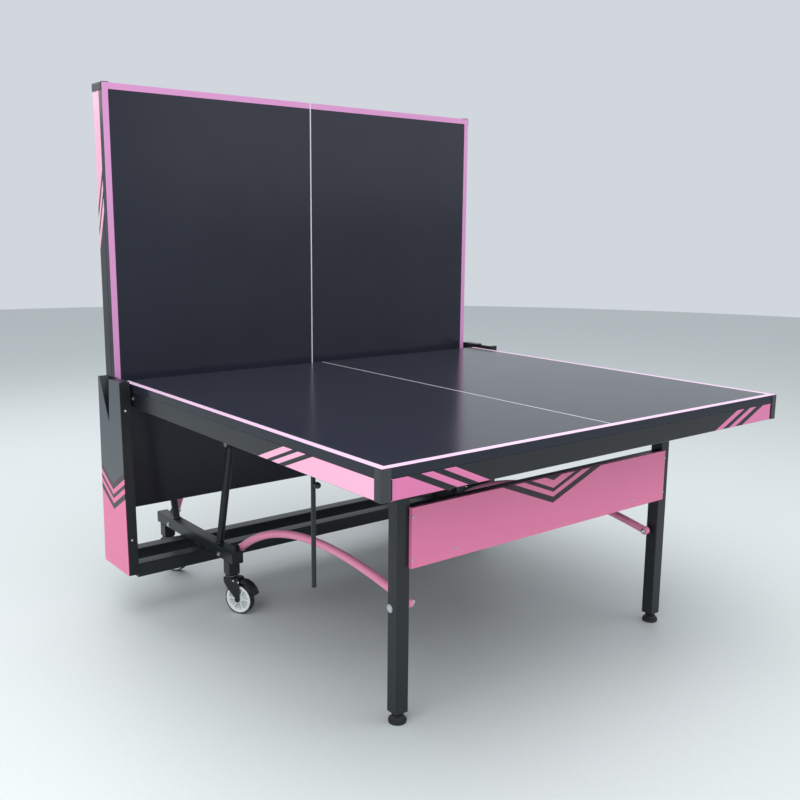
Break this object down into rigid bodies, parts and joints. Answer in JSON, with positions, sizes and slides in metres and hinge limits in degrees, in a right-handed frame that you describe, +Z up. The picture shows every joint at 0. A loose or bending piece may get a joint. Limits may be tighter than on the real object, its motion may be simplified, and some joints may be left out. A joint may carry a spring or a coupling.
{
  "type": "table tennis table",
  "caption": "Centre-folding table tennis table on a caster trolley, in practice position: front half flat on folding legs, rear half raised upright as a rebound wall.",
  "frame": {"origin": "middle of the table's footprint on the floor, half way along its X extent", "axes": "+Z up, +X from the raised rear half towards the end of the flat front half, +Y across the table to the right as seen from the front end"},
  "size_m": [1.658, 1.6216, 1.688],
  "materials": {
    "playing_surface": "semi-gloss roller-coated dark blue-black paint on MDF",
    "frame_black": "satin black powder coat on steel tube",
    "corner_cap": "moulded grey plastic",
    "pink_coat": "satin pink powder coat",
    "cover_grey": "satin dark grey coat, pink printed lower field",
    "caster_steel": "black coated pressed steel",
    "pedal_plastic": "moulded black plastic",
    "wheel_white": "moulded white nylon",
    "tyre_black": "black rubber tread",
    "foot_rubber": "matte black rubber",
    "zinc": "bright zinc plated fasteners",
    "line_paint": "satin pale line paint and pink print"
  },
  "bodies": {
    "trolley": {"base_rail_front": "frame_black", "base_rail_rear": "frame_black", "side_frame_left": "frame_black", "side_frame_right": "frame_black", "side_cover_left": "cover_grey", "side_cover_right": "cover_grey", "inner_plate_left": "frame_black", "inner_plate_right": "frame_black"},
    "front_half": {"front_board": "playing_surface", "front_net_rail": "frame_black", "front_end_rail": "frame_black", "front_side_rail_left": "frame_black", "front_side_rail_right": "frame_black", "front_end_cap_left": "corner_cap", "front_end_cap_right": "corner_cap", "front_net_cap_left": "corner_cap", "front_net_cap_right": "corner_cap", "front_under_beam_left": "frame_black", "front_under_beam_right": "frame_black"},
    "front_legs": {"front_leg_left": "frame_black", "front_leg_right": "frame_black", "front_leg_crossbar": "frame_black", "front_leg_panel": "pink_coat"},
    "front_link_left": {"front_link_left": "pink_coat"},
    "front_foot_left": {"front_foot_left": "foot_rubber"},
    "front_link_right": {"front_link_right": "pink_coat"},
    "front_foot_right": {"front_foot_right": "foot_rubber"},
    "front_stay_rod": {"front_stay_rod": "frame_black"},
    "rear_half": {"rear_board": "playing_surface", "rear_net_rail": "frame_black", "rear_end_rail": "frame_black", "rear_side_rail_left": "frame_black", "rear_side_rail_right": "frame_black", "rear_end_cap_left": "corner_cap", "rear_end_cap_right": "corner_cap", "rear_net_cap_left": "corner_cap", "rear_net_cap_right": "corner_cap", "rear_under_beam_left": "frame_black", "rear_under_beam_right": "frame_black"},
    "rear_legs": {"rear_leg_left": "frame_black", "rear_leg_right": "frame_black", "rear_leg_crossbar": "frame_black", "rear_leg_panel": "pink_coat"},
    "rear_link_left": {"rear_link_left": "pink_coat"},
    "rear_foot_left": {"rear_foot_left": "foot_rubber"},
    "rear_link_right": {"rear_link_right": "pink_coat"},
    "rear_foot_right": {"rear_foot_right": "foot_rubber"},
    "rear_stay_rod": {"rear_stay_rod": "frame_black"},
    "caster_fork_front_left": {"caster_fork_front_left": "caster_steel"},
    "caster_wheel_front_left": {"caster_wheel_front_left": "wheel_white"},
    "caster_pedal_front_left": {"caster_pedal_front_left": "pedal_plastic"},
    "caster_fork_front_right": {"caster_fork_front_right": "caster_steel"},
    "caster_wheel_front_right": {"caster_wheel_front_right": "wheel_white"},
    "caster_pedal_front_right": {"caster_pedal_front_right": "pedal_plastic"},
    "caster_fork_rear_left": {"caster_fork_rear_left": "caster_steel"},
    "caster_wheel_rear_left": {"caster_wheel_rear_left": "wheel_white"},
    "caster_pedal_rear_left": {"caster_pedal_rear_left": "pedal_plastic"},
    "caster_fork_rear_right": {"caster_fork_rear_right": "caster_steel"},
    "caster_wheel_rear_right": {"caster_wheel_rear_right": "wheel_white"},
    "caster_pedal_rear_right": {"caster_pedal_rear_right": "pedal_plastic"}
  },
  "joints": [
    {"name": "front_fold", "type": "hinge", "parent": "trolley", "child": "front_half", "pos_m": [-0.2885, 0, 0.5705], "axis": [0, -1, 0], "range_deg": [0, 90]},
    {"name": "front_leg_fold", "type": "hinge", "parent": "front_half", "child": "front_legs", "pos_m": [0.586, 0, 0.668], "axis": [0, -1, 0], "range_deg": [-90, 0]},
    {"name": "front_link_left_turn", "type": "hinge", "parent": "trolley", "child": "front_link_left", "pos_m": [-0.2975, -0.484, 0.214], "axis": [0, -1, 0], "range_deg": [0, 90]},
    {"name": "front_foot_left_screw", "type": "slide", "parent": "front_legs", "child": "front_foot_left", "axis": [0, 0, 1], "range_m": [-0.012, 0]},
    {"name": "front_link_right_turn", "type": "hinge", "parent": "trolley", "child": "front_link_right", "pos_m": [-0.2975, 0.484, 0.214], "axis": [0, -1, 0], "range_deg": [0, 90]},
    {"name": "front_foot_right_screw", "type": "slide", "parent": "front_legs", "child": "front_foot_right", "axis": [0, 0, 1], "range_m": [-0.012, 0]},
    {"name": "front_stay_rod_swing", "type": "hinge", "parent": "front_half", "child": "front_stay_rod", "pos_m": [0.4685, -0.7, 0.7], "axis": [0, -1, 0], "range_deg": [-90, 60]},
    {"name": "rear_fold", "type": "hinge", "parent": "trolley", "child": "rear_half", "pos_m": [-0.7995, 0, 0.5705], "axis": [0, -1, 0], "range_deg": [0, 70]},
    {"name": "rear_leg_fold", "type": "hinge", "parent": "rear_half", "child": "rear_legs", "pos_m": [-0.702, 0, 1.445], "axis": [0, -1, 0], "range_deg": [-70, 0]},
    {"name": "rear_link_left_turn", "type": "hinge", "parent": "trolley", "child": "rear_link_left", "pos_m": [-0.7905, -0.484, 0.214], "axis": [0, -1, 0], "range_deg": [0, 70]},
    {"name": "rear_foot_left_screw", "type": "slide", "parent": "rear_legs", "child": "rear_foot_left", "axis": [0, 0, 1], "range_m": [-0.012, 0]},
    {"name": "rear_link_right_turn", "type": "hinge", "parent": "trolley", "child": "rear_link_right", "pos_m": [-0.7905, 0.484, 0.214], "axis": [0, -1, 0], "range_deg": [0, 70]},
    {"name": "rear_foot_right_screw", "type": "slide", "parent": "rear_legs", "child": "rear_foot_right", "axis": [0, 0, 1], "range_m": [-0.012, 0]},
    {"name": "rear_stay_rod_swing", "type": "hinge", "parent": "rear_half", "child": "rear_stay_rod", "pos_m": [-0.67, 0.7, 1.3275], "axis": [0, -1, 0], "range_deg": [-150, 0]},
    {"name": "caster_swivel_front_left", "type": "hinge", "parent": "trolley", "child": "caster_fork_front_left", "pos_m": [-0.301, -0.52, 0.12], "axis": [0, 0, 1], "continuous": true},
    {"name": "caster_spin_front_left", "type": "hinge", "parent": "caster_fork_front_left", "child": "caster_wheel_front_left", "pos_m": [-0.27427, -0.50638, 0.05], "axis": [-0.454, 0.891, 0], "continuous": true},
    {"name": "brake_press_front_left", "type": "hinge", "parent": "caster_fork_front_left", "child": "caster_pedal_front_left", "pos_m": [-0.26821, -0.50329, 0.1101], "axis": [-0.454, 0.891, 0], "range_deg": [0, 7]},
    {"name": "caster_swivel_front_right", "type": "hinge", "parent": "trolley", "child": "caster_fork_front_right", "pos_m": [-0.301, 0.52, 0.12], "axis": [0, 0, 1], "continuous": true},
    {"name": "caster_spin_front_right", "type": "hinge", "parent": "caster_fork_front_right", "child": "caster_wheel_front_right", "pos_m": [-0.27427, 0.53362, 0.05], "axis": [-0.454, 0.891, 0], "continuous": true},
    {"name": "brake_press_front_right", "type": "hinge", "parent": "caster_fork_front_right", "child": "caster_pedal_front_right", "pos_m": [-0.26821, 0.53671, 0.1101], "axis": [-0.454, 0.891, 0], "range_deg": [0, 7]},
    {"name": "caster_swivel_rear_left", "type": "hinge", "parent": "trolley", "child": "caster_fork_rear_left", "pos_m": [-0.787, -0.52, 0.12], "axis": [0, 0, 1], "continuous": true},
    {"name": "caster_spin_rear_left", "type": "hinge", "parent": "caster_fork_rear_left", "child": "caster_wheel_rear_left", "pos_m": [-0.76027, -0.50638, 0.05], "axis": [-0.454, 0.891, 0], "continuous": true},
    {"name": "brake_press_rear_left", "type": "hinge", "parent": "caster_fork_rear_left", "child": "caster_pedal_rear_left", "pos_m": [-0.75421, -0.50329, 0.1101], "axis": [-0.454, 0.891, 0], "range_deg": [0, 7]},
    {"name": "caster_swivel_rear_right", "type": "hinge", "parent": "trolley", "child": "caster_fork_rear_right", "pos_m": [-0.787, 0.52, 0.12], "axis": [0, 0, 1], "continuous": true},
    {"name": "caster_spin_rear_right", "type": "hinge", "parent": "caster_fork_rear_right", "child": "caster_wheel_rear_right", "pos_m": [-0.76027, 0.53362, 0.05], "axis": [-0.454, 0.891, 0], "continuous": true},
    {"name": "brake_press_rear_right", "type": "hinge", "parent": "caster_fork_rear_right", "child": "caster_pedal_rear_right", "pos_m": [-0.75421, 0.53671, 0.1101], "axis": [-0.454, 0.891, 0], "range_deg": [0, 7]}
  ],
  "couplings": [
    {"joint": "front_leg_fold", "follows": "front_fold", "ratio": -1},
    {"joint": "front_link_left_turn", "follows": "front_fold", "ratio": 1},
    {"joint": "front_link_right_turn", "follows": "front_fold", "ratio": 1},
    {"joint": "rear_leg_fold", "follows": "rear_fold", "ratio": -1},
    {"joint": "rear_link_left_turn", "follows": "rear_fold", "ratio": 1},
    {"joint": "rear_link_right_turn", "follows": "rear_fold", "ratio": 1}
  ]
}
